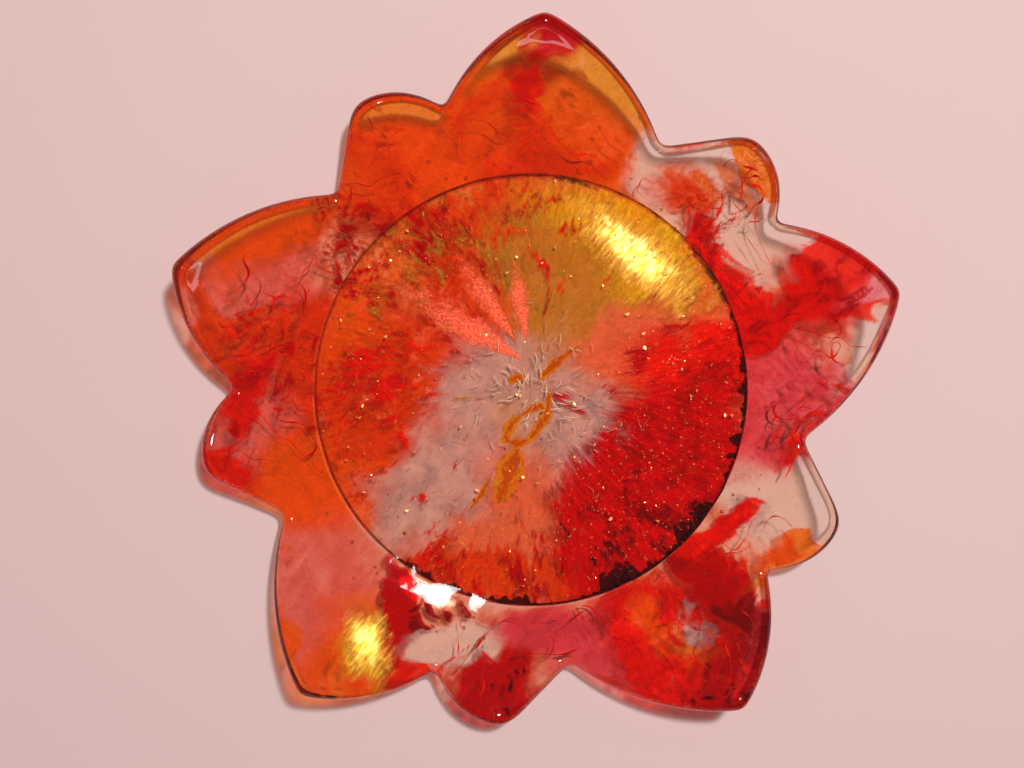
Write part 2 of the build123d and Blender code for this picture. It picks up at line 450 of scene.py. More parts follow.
FOOT_DROPS = [
    (0, 0, 170, 170, 0, "salmon", 0.78, 0.34, 0.3),
    (-36, 54, 80, 50, 150, "olive", 0.86, 0.44, 0.4),
    (0, 66, 90, 30, 175, "amber", 0.90, 0.50, 0.4),
    (-26, 68, 60, 22, 15, "rust", 0.90, 0.56, 0.4),
    (-66, 2, 40, 96, 0, "orange", 0.88, 0.46, 0.4),
    (-60, -10, 34, 44, 60, "rust", 0.90, 0.58, 0.4),
    (-42, 6, 46, 56, 0, "rust", 0.74, 0.34, 0.5),
    (-50, -54, 50, 44, 130, "orange", 0.70, 0.28, 0.4),
    (-22, 30, 50, 28, 125, "rust", 0.76, 0.40, 0.4),
    (-36, -38, 54, 38, 50, "lilac", 0.48, 0.16, 0.4),
    (-14, 0, 42, 44, 30, "lilac", 0.54, 0.22, 0.4),
    (8, 14, 44, 26, 35, "lilac", 0.50, 0.22, 0.4),
    (0, -9, 24, 16, 50, "olive", 0.56, 0.20, 0.5),
    (24, 38, 90, 54, 150, "olive", 0.78, 0.32, 0.5),
    (36, 56, 74, 36, 146, "gold", 0.94, 0.74, 0.6),
    (42, 18, 60, 32, 15, "salmon", 0.80, 0.38, 0.35),
    (16, -14, 34, 40, 60, "lilac", 0.52, 0.22, 0.5),
    (68, 10, 34, 66, 90, "red", 0.94, 0.70, 0.3),
    (58, -22, 62, 56, 130, "crimson", 0.97, 0.70, 0.22),
    (38, -44, 66, 44, 150, "crimson", 0.96, 0.80, 0.16),
    (30, -66, 64, 24, 0, "crimson", 0.95, 0.74, 0.2),
    (-8, -58, 40, 34, 100, "salmon", 0.82, 0.46, 0.4),
    (-16, -71, 66, 18, 0, "rust", 0.90, 0.60, 0.2),
]

# x, y, spread, how many, smallest, largest (mm), ink, stain, cloud
PETAL_SPATTERS = [
    (-66, 54, 8, 70, 1.5, 5.0, "crimson", 0.94, 0.66),
    (-54, 46, 6, 26, 1.5, 4.5, "wine", 0.90, 0.60),
    (-106, 24, 7, 34, 1.2, 4.5, "red", 0.92, 0.60),
    (-92, 2, 9, 40, 1.5, 5.0, "crimson", 0.88, 0.52),
    (-56, 92, 16, 20, 1.0, 3.0, "rust", 0.90, 0.50),
    (4, 100, 26, 36, 1.2, 3.6, "orange", 0.90, 0.44),
    (-84, -96, 13, 22, 1.0, 3.0, "orange", 0.90, 0.50),
    (-30, -84, 7, 12, 2.5, 6.0, "wine", 0.90, 0.62),
    (-12, -110, 12, 16, 1.6, 3.6, "black", 0.92, 0.74),
    (62, -94, 17, 60, 1.8, 6.0, "scarlet", 0.90, 0.44),
    (86, -104, 13, 34, 1.6, 5.0, "wine", 0.92, 0.64),
    (80, -113, 13, 20, 1.6, 3.8, "black", 0.94, 0.78),
    (104, -6, 10, 20, 1.0, 3.0, "red", 0.92, 0.52),
    (62, 66, 8, 24, 1.2, 4.0, "red", 0.90, 0.50),
    (66, 48, 7, 24, 1.5, 4.5, "crimson", 0.90, 0.54),
    (110, 46, 14, 40, 1.8, 5.5, "crimson", 0.94, 0.58),
    (94, -36, 14, 8, 0.8, 2.0, "red", 0.92, 0.60),
]
FOOT_SPATTERS = [
    (-40, 54, 16, 170, 1.4, 5.0, "crimson", 0.92, 0.66),
    (-26, 64, 17, 110, 1.4, 5.0, "rust", 0.92, 0.62),
    (-38, 48, 18, 60, 1.2, 4.0, "olive", 0.80, 0.40),
    (4, 70, 14, 36, 1.4, 4.0, "red", 0.90, 0.56),
    (-60, -2, 12, 90, 1.4, 4.5, "red", 0.90, 0.58),
    (-62, -30, 10, 40, 1.2, 4.0, "rust", 0.88, 0.50),
    (-30, -70, 10, 50, 1.6, 5.0, "red", 0.90, 0.56),
    (-8, -68, 14, 80, 1.4, 4.5, "crimson", 0.90, 0.56),
    (62, 8, 14, 80, 1.6, 5.5, "crimson", 0.94, 0.66),
    (54, -26, 18, 110, 1.8, 7.0, "crimson", 0.94, 0.70),
    (44, -54, 15, 60, 1.6, 5.5, "wine", 0.94, 0.72),
    (30, -68, 10, 18, 1.4, 4.5, "black", 0.94, 0.80),
]


# %% Spreading the ink
def spattered(spatters, seed):
    """The small drops of each spatter: round about its middle, with any turn."""
    random = np.random.default_rng(seed)
    drops = []
    for x, y, spread, count, small, large, ink, stain, cloud in spatters:
        places = random.normal(0, spread, (count, 2)) + (x, y)
        lengths = small + (large - small) * random.random(count) ** 2
        widths = lengths * random.uniform(0.4, 1.0, count)
        turns = random.uniform(0, 180, count)
        numbers = np.column_stack([places, lengths, widths, turns]).tolist()
        drops += [(*place, ink, stain, cloud, 0.25) for place in numbers]
    return drops


def spread_ink(x, y, drops):
    """The ink at each place: its colour, stain and cloud, and how near a dried shore is. A
    drop is full inside its oval and fades across its edge; a shore is 0.6 mm wide."""
    found = np.tile(np.append(INKS["salmon"], (0.4, 0.2)), (x.size, 1))
    shore = np.zeros(x.size)
    for drop_x, drop_y, length, width, turn, ink, stain, cloud, softness in drops:
        angle = math.radians(turn)
        forward = (x - drop_x) * math.cos(angle) + (y - drop_y) * math.sin(angle)
        sideways = (y - drop_y) * math.cos(angle) - (x - drop_x) * math.sin(angle)
        reach = np.hypot(forward / (length / 2), sideways / (width / 2))
        near = reach < 1.6
        cover = np.clip((1 + softness - reach[near]) / (2 * softness), 0, 1)
        cover = cover * cover * (3 - 2 * cover)
        found[near] += (np.append(INKS[ink], (stain, cloud)) - found[near]) * cover[:, None]
        dried = np.exp(-(((reach[near] - 1) * width / 2 / 0.6) ** 2)) * (softness < 0.3)
        shore[near] = np.maximum(shore[near] * (1 - cover), dried)
    return found[:, :4], found[:, 4], found[:, 5], shore


# x, y, size (mm), strength: where ink broke into lace
LACE_SPOTS = [
    (-70, 52, 36, 1.0),
    (-108, 24, 34, 1.0),
    (-92, 0, 30, 0.8),
    (-108, -20, 36, 0.8),
    (-84, -70, 24, 0.4),
    (-14, -106, 40, 0.7),
    (60, -90, 56, 0.9),
    (92, -96, 40, 0.9),
    (74, -46, 34, 0.9),
    (106, -2, 40, 1.0),
    (80, 82, 40, 1.0),
    (64, 58, 40, 1.0),
    (0, 110, 40, 0.3),
    (-40, 50, 50, 0.9),
    (-54, 0, 40, 0.7),
    (50, -30, 70, 0.8),
]


def gathered(x, y, spots):
    """How strongly the nearest spot acts at each place, from 0 to 1."""
    total = np.zeros(x.size)
    for spot_x, spot_y, size, strength in spots:
        reach = np.hypot(x - spot_x, y - spot_y) / (size / 2)
        total = np.maximum(total, strength * np.clip(1.6 - 1.1 * reach, 0, 1))
    return total


def ink_mesh(mesh, drops, seed, brushed=0.0, shown=None):
    """Stores the ink on the points of a mesh. Only the shown points carry it, so that a
    thin body has its ink once and not on both faces. Brushing drags the ink's edges out
    and in along the radius by so many millimetres."""
    places = np.empty(len(mesh.vertices) * 3)
    mesh.vertices.foreach_get("co", places)
    x, y, _ = (places.reshape(-1, 3) / MM).T
    distance = np.hypot(x, y) + 1e-6
    along_x, along_y = x / distance, y / distance
    bristles = ripple(90 * along_x, 90 * along_y, 5, 8) + ripple(90 * along_x, 90 * along_y, 2, 9)
    drag = 1 + brushed * bristles / distance
    drift_x, drift_y = drifted(x * drag, y * drag, seed)
    colour, stain, cloud, shore = spread_ink(drift_x, drift_y, drops)
    set_attribute(mesh, "ink", colour)
    set_attribute(mesh, "stain", stain)
    set_attribute(mesh, "cloud", cloud)
    set_attribute(mesh, "shore", shore)
    set_attribute(mesh, "lace", gathered(x, y, LACE_SPOTS))
    set_attribute(mesh, "shown", np.ones(x.size) if shown is None else shown)


# %% [markdown]
# ## The veil of ink in the petals
# In the real bowl the ink hangs part way down in the resin. A thin closed sheet that
# follows the wall at that depth stands for it: far lighter than a volume, and it keeps
# the depth, because one looks through clear resin to see it.

# %% The veil's surface
veil_inner_radius = 80.75 * MM
veil_depth = 0.56
veil_half = 0.18 * MM
veil_rows = 86
veil_back_rows = 6
veil_reach = 1.9 * MM


def ink_veil():
    """A thin body round the bowl: from a circle over the foot's edge out to the rim's
    middle and a little past it, and back underneath."""
    outer, rim_centre, rim_out, rim_up = rim_line(veil_columns)
    depth = veil_depth * wall_thickness
    inner = veil_inner_radius * outer / abs(outer)
    sides = []
    for rows, side in ((veil_rows, 1), (veil_back_rows, -1)):
        shares = np.linspace(0, 1, rows)[:, None]
        plan = inner + (outer - inner) * shares
        sheet = lift(plan, wall_height(abs(plan), depth))
        sheet = sheet + side * veil_half * wall_normal(plan, depth)
        tip = rim_centre + veil_reach * rim_out - (depth - half_wall) * rim_up
        tip = tip + side * 0.5 * veil_half * rim_up
        sheet = np.concatenate([sheet, tip[None]])
        sides.append(sheet if side > 0 else sheet[::-1])
    return np.concatenate(sides)


veil_mesh = ring_mesh("ink_veil", ink_veil(), wrap_rows=True)
upper_side = np.arange(len(veil_mesh.vertices)) < (veil_rows + 1) * veil_columns
veil_drops = PETAL_DROPS + spattered(PETAL_SPATTERS, 41)
ink_mesh(veil_mesh, veil_drops, 40, shown=upper_side.astype(float))
ink_mesh(clear_mesh, PETAL_DROPS, 40)

# %% [markdown]
# ## Material: clear epoxy, cast
# Epoxy has an index of refraction of about 1.53 and comes out of a polished mould glossy.
# It lets light through to what is inside it, so rays that carry lamp light or bounce off
# the inks pass straight through a Transparent shader; without that, the inside of clear
# bodies goes dark and grainy. Where ink is near, the resin itself is faintly stained.

# %% Clear epoxy
clear_epoxy, tree, output = new_material("clear_epoxy_cast")
place = add(tree, "ShaderNodeTexCoord")
ink_colour = add(tree, "ShaderNodeAttribute", attribute_name="ink")
ink_stain = add(tree, "ShaderNodeAttribute", attribute_name="stain")
share = add(tree, "ShaderNodeMath", {0: ink_stain.outputs["Fac"], 1: 0.20}, operation="MULTIPLY")
tint = add(
    tree,
    "ShaderNodeMix",
    {"Factor": share.outputs[0], "A": linear("#FFF8F0"), "B": ink_colour.outputs["Color"]},
    data_type="RGBA",
)
# Hand-pour waves about 15 mm long, and a faint orange peel of about 3 mm.
swell = add(
    tree,
    "ShaderNodeTexNoise",
    {"Vector": place.outputs["Object"], "Scale": 66.0, "Detail": 1.5},
)
peel = add(
    tree,
    "ShaderNodeTexNoise",
    {"Vector": place.outputs["Object"], "Scale": 330.0, "Detail": 2.0},
)
swell_bump = add(
    tree,
    "ShaderNodeBump",
    {"Height": swell.outputs["Fac"], "Strength": 0.8, "Distance": 0.4 * MM},
)
peel_bump = add(
    tree,
    "ShaderNodeBump",
    {
        "Height": peel.outputs["Fac"],
        "Strength": 0.25,
        "Distance": 0.03 * MM,
        "Normal": swell_bump.outputs["Normal"],
    },
)
resin = add(
    tree,
    "ShaderNodeBsdfPrincipled",
    {
        "Base Color": tint.outputs["Result"],
        "Transmission Weight": 1.0,
        "IOR": 1.53,
        "Roughness": 0.03,
        "Normal": peel_bump.outputs["Normal"],
    },
)
path = add(tree, "ShaderNodeLightPath")
passing = add(
    tree,
    "ShaderNodeMath",
    {0: path.outputs["Is Shadow Ray"], 1: path.outputs["Is Diffuse Ray"]},
    operation="MAXIMUM",
)
# The round rim bends lamp light away, so little of it goes straight on, and it has a shadow.
bend = add(tree, "ShaderNodeAttribute", attribute_name="bend").outputs["Fac"]
held = add(tree, "ShaderNodeMath", {0: bend, 1: -0.62, 2: 1.0}, operation="MULTIPLY_ADD")
dimmed = add(
    tree,
    "ShaderNodeVectorMath",
    {0: tint.outputs["Result"], "Scale": held.outputs[0]},
    operation="SCALE",
)
straight = add(tree, "ShaderNodeBsdfTransparent", {"Color": dimmed.outputs[0]})
seen = add(
    tree,
    "ShaderNodeMixShader",
    {0: passing.outputs[0], 1: resin.outputs[0], 2: straight.outputs[0]},
)
tree.links.new(seen.outputs[0], output.inputs["Surface"])

# %% [markdown]
# ## Material: alcohol ink in resin
# Ink that hangs in resin is neither paint nor glass. Thin ink only stains what lies beyond
# it, dense ink clouds and glows, and where it dried to an edge it left a fine dark line.
# Held in resin it has no surface of its own in air, so it has no shine either. The shader
# mixes Transparent with a scattering half, Diffuse and Translucent. Noise
# drawn through itself gives wisps of 15 mm and threads of 4 mm. The dark lines lie on the
# shores of the drops, and where the noise passes one level, as a shore has one height.


# %% Ink
def combine(tree, operation, first, second, third=0.0, clamp=False):
    """The result of one sum on sockets or numbers."""
    inputs = {0: first, 1: second, 2: third}
    return add(tree, "ShaderNodeMath", inputs, operation=operation, use_clamp=clamp).outputs[0]


def ramp(tree, value, start, end, low=0.0, high=1.0):
    """A value mapped smoothly from one range to another and held at its ends."""
    inputs = {"Value": value, "From Min": start, "From Max": end, "To Min": low, "To Max": high}
    kind = "SMOOTHSTEP"
    return add(tree, "ShaderNodeMapRange", inputs, interpolation_type=kind).outputs["Result"]


def blend(tree, share, first, second):
    """One colour laid over another by a share."""
    inputs = {"Factor": share, "A": first, "B": second}
    return add(tree, "ShaderNodeMix", inputs, data_type="RGBA").outputs["Result"]


def scaled(tree, colour, factor):
    """A colour or a vector times a number."""
    inputs = {0: colour, "Scale": factor}
    return add(tree, "ShaderNodeVectorMath", inputs, operation="SCALE").outputs[0]


def cloudy(tree, vector, scale, detail, rough, drag):
    """Layered noise: scale counts features in a metre, drag pulls it into swirls."""
    inputs = {"Vector": vector, "Scale": scale, "Detail": detail}
    inputs |= {"Roughness": rough, "Distortion": drag}
    return add(tree, "ShaderNodeTexNoise", inputs).outputs["Fac"]


def stored(tree, name):
    """What a mesh's points carry under a name, as a number."""
    return add(tree, "ShaderNodeAttribute", attribute_name=name).outputs["Fac"]


def ink_nodes(tree, place):
    """The nodes that every inked piece shares: they read the ink on its points and return
    the ink's colour, how much it stains and how much it clouds."""
    colour = add(tree, "ShaderNodeAttribute", attribute_name="ink").outputs["Color"]
    stain, cloud = stored(tree, "stain"), stored(tree, "cloud")
    lace, shore, shown = stored(tree, "lace"), stored(tree, "shore"), stored(tree, "shown")
    wisps = cloudy(tree, place, 65.0, 8.0, 0.58, 1.6)
    threads = cloudy(tree, place, 210.0, 6.0, 0.60, 2.2)
    grains = cloudy(tree, place, 900.0, 3.0, 0.60, 0.4)

    # Wisps eat into the ink, more so where it is lacy.
    reach = combine(tree, "MULTIPLY_ADD", lace, 0.9, 0.8)
    swing = combine(tree, "MULTIPLY", combine(tree, "SUBTRACT", wisps, 0.5), reach)
    fine_swing = combine(tree, "MULTIPLY", combine(tree, "SUBTRACT", threads, 0.5), reach)
    both = combine(tree, "MULTIPLY_ADD", fine_swing, 0.6, swing)
    stained = ramp(tree, combine(tree, "ADD", stain, both), 0.05, 0.84)
    clouded = ramp(tree, combine(tree, "MULTIPLY_ADD", both, 1.1, cloud), 0.12, 1.15, 0.0, 0.85)

    # Dried shores: round each crisp drop, and where the threads pass one level.
    thread_shore = combine(tree, "COMPARE", threads, 0.57, 0.014)
    torn = ramp(tree, cloudy(tree, place, 150.0, 3.0, 0.5, 0.0), 0.42, 0.56)
    lacy = combine(tree, "MULTIPLY", thread_shore, lace)
    kept = combine(tree, "MULTIPLY", combine(tree, "MAXIMUM", lacy, shore), torn)
    line = combine(tree, "MULTIPLY", kept, combine(tree, "MULTIPLY", stain, 0.8))

    # Thick ink is deeper in colour, and grains of pigment mottle it.
    depth = ramp(tree, both, -0.30, 0.34, 1.25, 0.82)
    mottle = ramp(tree, grains, 0.30, 0.72, 0.88, 1.18)
    shaded = scaled(tree, colour, combine(tree, "MULTIPLY", depth, mottle))
    darker = scaled(tree, blend(tree, 0.5, colour, linear("#B00A08")), 0.55)
    lined = blend(tree, line, shaded, darker)
    hides = combine(tree, "MULTIPLY", combine(tree, "MAXIMUM", clouded, line), shown)
    return lined, combine(tree, "MULTIPLY", stained, shown), hides


def stained_clear(tree, colour, stained):
    """A Transparent shader in the ink's colour. Light meets the ink on its way in and on
    its way out, so one pass has the square root of the colour."""
    one_pass = add(tree, "ShaderNodeGamma", {"Color": colour, "Gamma": 0.5}).outputs[0]
    passed = blend(tree, stained, linear("#FFFCFA"), one_pass)
    return add(tree, "ShaderNodeBsdfTransparent", {"Color": passed}).outputs[0]


alcohol_ink, tree, output = new_material("alcohol_ink_in_resin")
place = add(tree, "ShaderNodeTexCoord").outputs["Object"]
colour, stained, hides = ink_nodes(tree, place)
scatter = add(tree, "ShaderNodeBsdfDiffuse", {"Color": colour})
glow = add(tree, "ShaderNodeBsdfTranslucent", {"Color": colour})
ink_side = add(tree, "ShaderNodeMixShader", {0: 0.25, 1: scatter.outputs[0], 2: glow.outputs[0]})
veil_mix = add(
    tree,
    "ShaderNodeMixShader",
    {0: hides, 1: stained_clear(tree, colour, stained), 2: ink_side.outputs[0]},
)
tree.links.new(veil_mix.outputs[0], output.inputs["Surface"])

finish_piece(clear_mesh, clear_epoxy, ["petal_shell", "foot_layer"])
finish_piece(veil_mesh, alcohol_ink, ["petal_shell"])

# %% [markdown]
# ## Ribbons and plates
# Much of what hangs in the resin is thin: threads and runs of ink, smears of mica, fibres,
# foil. A run or a fibre is one flat strip along a path, swept with a small oval section
# and closed at both ends; foil is a five-sided plate. Both are made all at once as arrays,
# because there are hundreds of them and each needs only a few faces.


# %% Strips and plates
def strips(name, paths, half_widths, heights, half_thickness, sides=4, looped=False):
    """Closed strips along paths in plan, (strip, station) complex numbers. Round each
    station runs an oval as wide as the strip there and this thick. Its points also carry
    how far out towards the strip's edges they are, and how far along it."""
    count, stations = paths.shape
    ahead = np.roll(paths, -1, 1) - np.roll(paths, 1, 1)
    if not looped:
        ahead[:, 0] = paths[:, 1] - paths[:, 0]
        ahead[:, -1] = paths[:, -1] - paths[:, -2]
    across = 1j * ahead / abs(ahead)
    turn = np.arange(sides) * 2 * np.pi / sides
    plan = paths[..., None] + (across * half_widths)[..., None] * np.cos(turn)
    height = heights[..., None] + half_thickness * np.sin(turn)
    faces = grid_faces(stations, sides, looped)[:, ::-1]
    first = np.arange(count)[:, None, None] * stations * sides
    quads = (first + faces[None]).reshape(-1, 4).tolist()
    if not looped:
        cap = np.arange(sides)
        quads += (first[:, 0] + cap).tolist()
        quads += (first[:, 0] + (stations - 1) * sides + cap[::-1]).tolist()
    mesh = bpy.data.meshes.new(name)
    mesh.from_pydata(lift(plan, height).reshape(-1, 3), [], quads)
    set_attribute(mesh, "reach", np.tile(abs(np.cos(turn)), count * stations))
    progress = np.repeat(np.linspace(0, 1, stations), sides)
    set_attribute(mesh, "progress", np.tile(progress, count))
    return mesh


def scattered(count, low, high, random):
    """Random places in plan between two radii, even over the area."""
    radius = np.sqrt(low**2 + (high**2 - low**2) * random.random(count))
    return radius * MM * np.exp(2j * np.pi * random.random(count))


# %% [markdown]
# ## Threads of ink
# Where red ink met clear resin it drew out into fine curling threads with small blots on
# them. Each sets off the way the resin flowed there, so neighbours run side by side, and
# its direction turns at a slowly changing rate, so it curls like a wisp of smoke. They lie
# on the veil.

# %% Curling threads
random = np.random.default_rng(17)
# x, y, spread (mm), how many, curl (degrees in a millimetre)
THREAD_SPOTS = [
    (-66, 54, 8, 13, 30),
    (-106, 24, 7, 9, 26),
    (-92, 2, 8, 8, 20),
    (-106, -18, 8, 6, 8),
    (-60, 90, 12, 4, 14),
    (-14, -104, 9, 6, 18),
    (30, -92, 8, 6, 8),
    (62, -86, 12, 11, 12),
    (88, -98, 11, 10, 20),
    (70, -52, 8, 8, 20),
    (106, -2, 9, 11, 24),
    (100, 30, 14, 8, 16),
    (84, 84, 8, 9, 24),
    (62, 62, 10, 12, 22),
    (84, 40, 8, 6, 18),
    (0, 104, 18, 6, 10),
]
spots = np.repeat(np.array(THREAD_SPOTS), [spot[3] for spot in THREAD_SPOTS], axis=0)
thread_count, thread_stations = len(spots), 70
thread_start = spots[:, 0] + 1j * spots[:, 1]
thread_start = thread_start + spots[:, 2] * (
    random.normal(0, 1, thread_count) + 1j * random.normal(0, 1, thread_count)
)
thread_length = random.uniform(8, 30, thread_count)
thread_step = (thread_length / thread_stations)[:, None]
along = np.linspace(0, 1, thread_stations)
turning = sum(
    random.normal(0, 1, thread_count)[:, None]
    * np.sin(2 * np.pi * (wave * along + random.random(thread_count)[:, None]))
    for wave in (0.6, 1.4, 2.7)
)
heading = np.cumsum(np.radians(0.6 * turning * spots[:, 4:5]) * thread_step, 1)
flow = 1.6 * np.pi * ripple(thread_start.real, thread_start.imag, 70, 19)
heading += (flow + random.normal(0, 0.5, thread_count))[:, None]
thread_paths = thread_start[:, None] + np.cumsum(thread_step * np.exp(1j * heading), 1)
# A thread that would cross the foot's edge is pushed out from it as a whole.
thread_paths *= np.clip(82.5 / abs(thread_paths).min(1), 1, 1.4)[:, None]
rim_plan = rim_line(body_columns)[0] / MM
by_angle = np.argsort(np.angle(rim_plan))
rim_reach = np.interp(
    np.angle(thread_paths), np.angle(rim_plan)[by_angle], abs(rim_plan)[by_angle], period=2 * np.pi
)
# A thread that would pass the rim is drawn in towards the axis as a whole.
share_inside = ((rim_reach - 1.2) / abs(thread_paths)).min(1)
thread_paths *= np.clip(share_inside, 0, 1)[:, None] * MM
blots = np.clip(ripple(along * 60 + spots[:, :1], spots[:, 1:2] + 0 * along, 26, 18), 0, 1)
thread_half = random.uniform(0.08, 0.24, thread_count)[:, None] * (0.6 + 1.8 * blots)
thread_half = thread_half * np.sin(np.pi * np.linspace(0.04, 0.96, thread_stations)) ** 0.5 * MM
thread_heights = wall_height(abs(thread_paths), (veil_depth - 0.12) * wall_thickness)
thread_mesh = strips("ink_threads", thread_paths, thread_half, thread_heights, 0.08 * MM)
set_attribute(thread_mesh, "shade", np.repeat(random.random(thread_count), thread_stations * 4))
thread_ink, tree, output = new_material("alcohol_ink_threads")
shade = stored(tree, "shade")
thread_tone = blend(tree, ramp(tree, shade, 0.1, 0.9), linear("#EC2406"), linear("#B40604"))
thread_body = add(
    tree,
    "ShaderNodeBsdfPrincipled",
    {"Base Color": thread_tone, "Roughness": 0.5, "Specular IOR Level": 0.0},
)
tree.links.new(thread_body.outputs[0], output.inputs["Surface"])
finish_piece(thread_mesh, thread_ink, ["petal_shell"])

# %% [markdown]
# ## The mica pour over the foot
# The first pour filled the foot and was thick with mica. It dried in strokes that run out
# from the middle, and it is thin and greyish there and dense towards the edge. It is a
# flat closed disc inside the clear foot, and its strokes are noise drawn out along the
# radius: the noise reads the direction from the middle far more than the distance.

# %% The mica pour's surface
pour_radius = foot_radius - 0.15 * MM
pour_top = foot_height - 0.35 * MM
pour_bottom = 0.5 * MM
pour_columns = 800


def disc_body(radius, top, bottom, rows):
    """A flat disc with a rounded edge: rings out over its top, round, and back under."""
    way_out = np.exp(2j * np.pi * np.arange(pour_columns) / pour_columns)
    upper = [lift(way_out * radius * share, top) for share in np.linspace(0.02, 1, rows)[:-1]]
    half = (top - bottom) / 2
    rounding = [
        lift(way_out * (radius - half + half * math.cos(a)), bottom + half + half * math.sin(a))
        for a in np.radians([60, 30, 0, -30, -60])
    ]
    lower = [lift(way_out * radius * share, bottom) for share in (0.9, 0.5)]
    return np.array(upper[:-1] + rounding + lower), [(0, 0, top), (0, 0, bottom)]


pour_body, pour_poles = disc_body(pour_radius, pour_top, pour_bottom, 112)
pour_mesh = ring_mesh("mica_pour", pour_body, pour_poles)
pour_upper = np.arange(len(pour_mesh.vertices)) < (len(pour_body) - 3) * pour_columns
pour_upper[-2] = True
pour_drops = FOOT_DROPS + spattered(FOOT_SPATTERS, 71)
ink_mesh(pour_mesh, pour_drops, 70, brushed=1.6, shown=pour_upper.astype(float))

# %% Mica in tinted resin
mica_resin, tree, output = new_material("mica_filled_resin")
place = add(tree, "ShaderNodeTexCoord").outputs["Object"]
colour, stained, hides = ink_nodes(tree, place)
way_out = add(tree, "ShaderNodeVectorMath", {0: place}, operation="NORMALIZE").outputs[0]
# Strokes about 2 degrees wide and 10 mm long.
inputs = {0: place, 1: (90.0, 90.0, 0.0), 2: scaled(tree, way_out, 26.0)}
drawn = add(tree, "ShaderNodeVectorMath", inputs, operation="MULTIPLY_ADD").outputs[0]
strokes = cloudy(tree, drawn, 1.0, 6.0, 0.65, 0.6)
stroked = scaled(tree, colour, ramp(tree, strokes, 0.30, 0.70, 0.84, 1.18))
# Mica plates about 0.6 mm across, each with its own tilt; the palest are partly paler mica and
# partly painted glints of plates that catch the lamp.
plates = add(tree, "ShaderNodeTexVoronoi", {"Vector": place, "Scale": 1500.0})
pale_and_glinting_plate = ramp(tree, plates.outputs["Color"], 0.84, 0.97)
plated = blend(tree, pale_and_glinting_plate, stroked, linear("#F89C5C"))
tilt = add(
    tree,
    "ShaderNodeBump",
    {"Height": plates.outputs["Color"], "Strength": 0.5, "Distance": 0.12 * MM},
)
mica = add(
    tree,
    "ShaderNodeBsdfPrincipled",
    {
        "Base Color": plated,
        "Metallic": 0.12,
        "Roughness": 0.5,
        "Specular IOR Level": 0.0,
        "Normal": tilt.outputs["Normal"],
    },
)
stroke_hide = ramp(tree, strokes, 0.32, 0.66, 0.60, 1.05)
mica_hides = combine(tree, "MULTIPLY", hides, stroke_hide, clamp=True)
pour_mix = add(
    tree,
    "ShaderNodeMixShader",
    {0: mica_hides, 1: stained_clear(tree, colour, stained), 2: mica.outputs[0]},
)
tree.links.new(pour_mix.outputs[0], output.inputs["Surface"])
finish_piece(pour_mesh, mica_resin, ["foot_layer"])

# %% [markdown]
# ## Fibres and foil
# Loose fibres, 2 to 6 mm long, crowd round the middle, most of them pointing outwards as
# the pour dragged them. They are bleached there and stained red farther out. Foil flakes
# of 0.2 to 1 mm are everywhere over the foot; the finest are drawn a little coarser than
# they are, so that they show.

# %% Fibres
random = np.random.default_rng(5)
fibre_count = 260
fibre_stations = 7
fibre_radius = (4 + 70 * random.random(fibre_count) ** 1.5) * MM
fibre_start = fibre_radius * np.exp(2j * np.pi * random.random(fibre_count))
fibre_angle = np.angle(fibre_start) + random.normal(0, 0.65, fibre_count)
fibre_bend = random.normal(0, 0.9, fibre_count)
fibre_length = random.uniform(2, 6.5, fibre_count) * MM
share = np.linspace(-0.5, 0.5, fibre_stations)
fibre_run = share[None] * fibre_length[:, None] * np.exp(0.5j * fibre_bend[:, None] * share)
fibre_paths = fibre_start[:, None] + fibre_run * np.exp(1j * fibre_angle)[:, None]
fibre_taper = np.sqrt(np.clip(1.02 - (2 * share) ** 2, 0, 1))
fibre_paleness = np.clip(1.25 - fibre_radius / (42 * MM), 0, 1)
fibre_paleness = fibre_paleness * random.uniform(0.4, 1.0, fibre_count)
fibre_width = random.uniform(0.05, 0.09, fibre_count) * (1 + fibre_paleness)
fibre_half = fibre_width[:, None] * MM * fibre_taper
fibre_tilt = random.normal(0, 0.05, fibre_count)[:, None] * share
fibre_heights = random.uniform(3.3, 5.4, fibre_count)[:, None] * MM + fibre_tilt * 8 * MM
fibre_mesh = strips("loose_fibres", fibre_paths, fibre_half, fibre_heights, 0.07 * MM)
set_attribute(fibre_mesh, "shade", np.repeat(fibre_paleness, fibre_stations * 4))

fibre_stuff, tree, output = new_material("gilded_fibre")
shade = stored(tree, "shade")
pale = blend(tree, ramp(tree, shade, 0.0, 0.8), linear("#D8381C"), linear("#FFE8CC"))
fibre = add(
    tree, "ShaderNodeBsdfPrincipled", {"Base Color": pale, "Metallic": 0.1, "Roughness": 0.45}
)
tree.links.new(fibre.outputs[0], output.inputs["Surface"])
finish_piece(fibre_mesh, fibre_stuff, ["hair_fibres"])

# %% Foil
foil_count = 1100
foil_corners = 5
foil_places = scattered(foil_count, 3, 79, random)
foil_size = (0.09 + 0.45 * random.random(foil_count) ** 9) * MM
corner_turn = np.arange(foil_corners) * 2 * np.pi / foil_corners
ragged = random.uniform(0.55, 1.25, (foil_count, foil_corners))
corners = ragged * foil_size[:, None] * np.exp(1j * corner_turn)
stretch = random.uniform(1.0, 2.3, foil_count)[:, None]
corners = corners.real * stretch + 1j * corners.imag
corners *= np.exp(2j * np.pi * random.random(foil_count))[:, None]
slope = random.normal(0, 0.2, foil_count) + 1j * random.normal(0, 0.2, foil_count)
rise = (corners * slope.conjugate()[:, None]).real
foil_heights = random.uniform(3.2, 6.1, foil_count)[:, None] * MM + rise
foil_half = 0.03 * MM
foil_top = lift(foil_places[:, None] + corners, foil_heights + foil_half)
foil_bottom = lift(foil_places[:, None] + corners, foil_heights - foil_half)
foil_points = np.concatenate([foil_top, foil_bottom], 1).reshape(-1, 3)
foil_first = np.arange(foil_count)[:, None] * 2 * foil_corners
ring = np.arange(foil_corners)
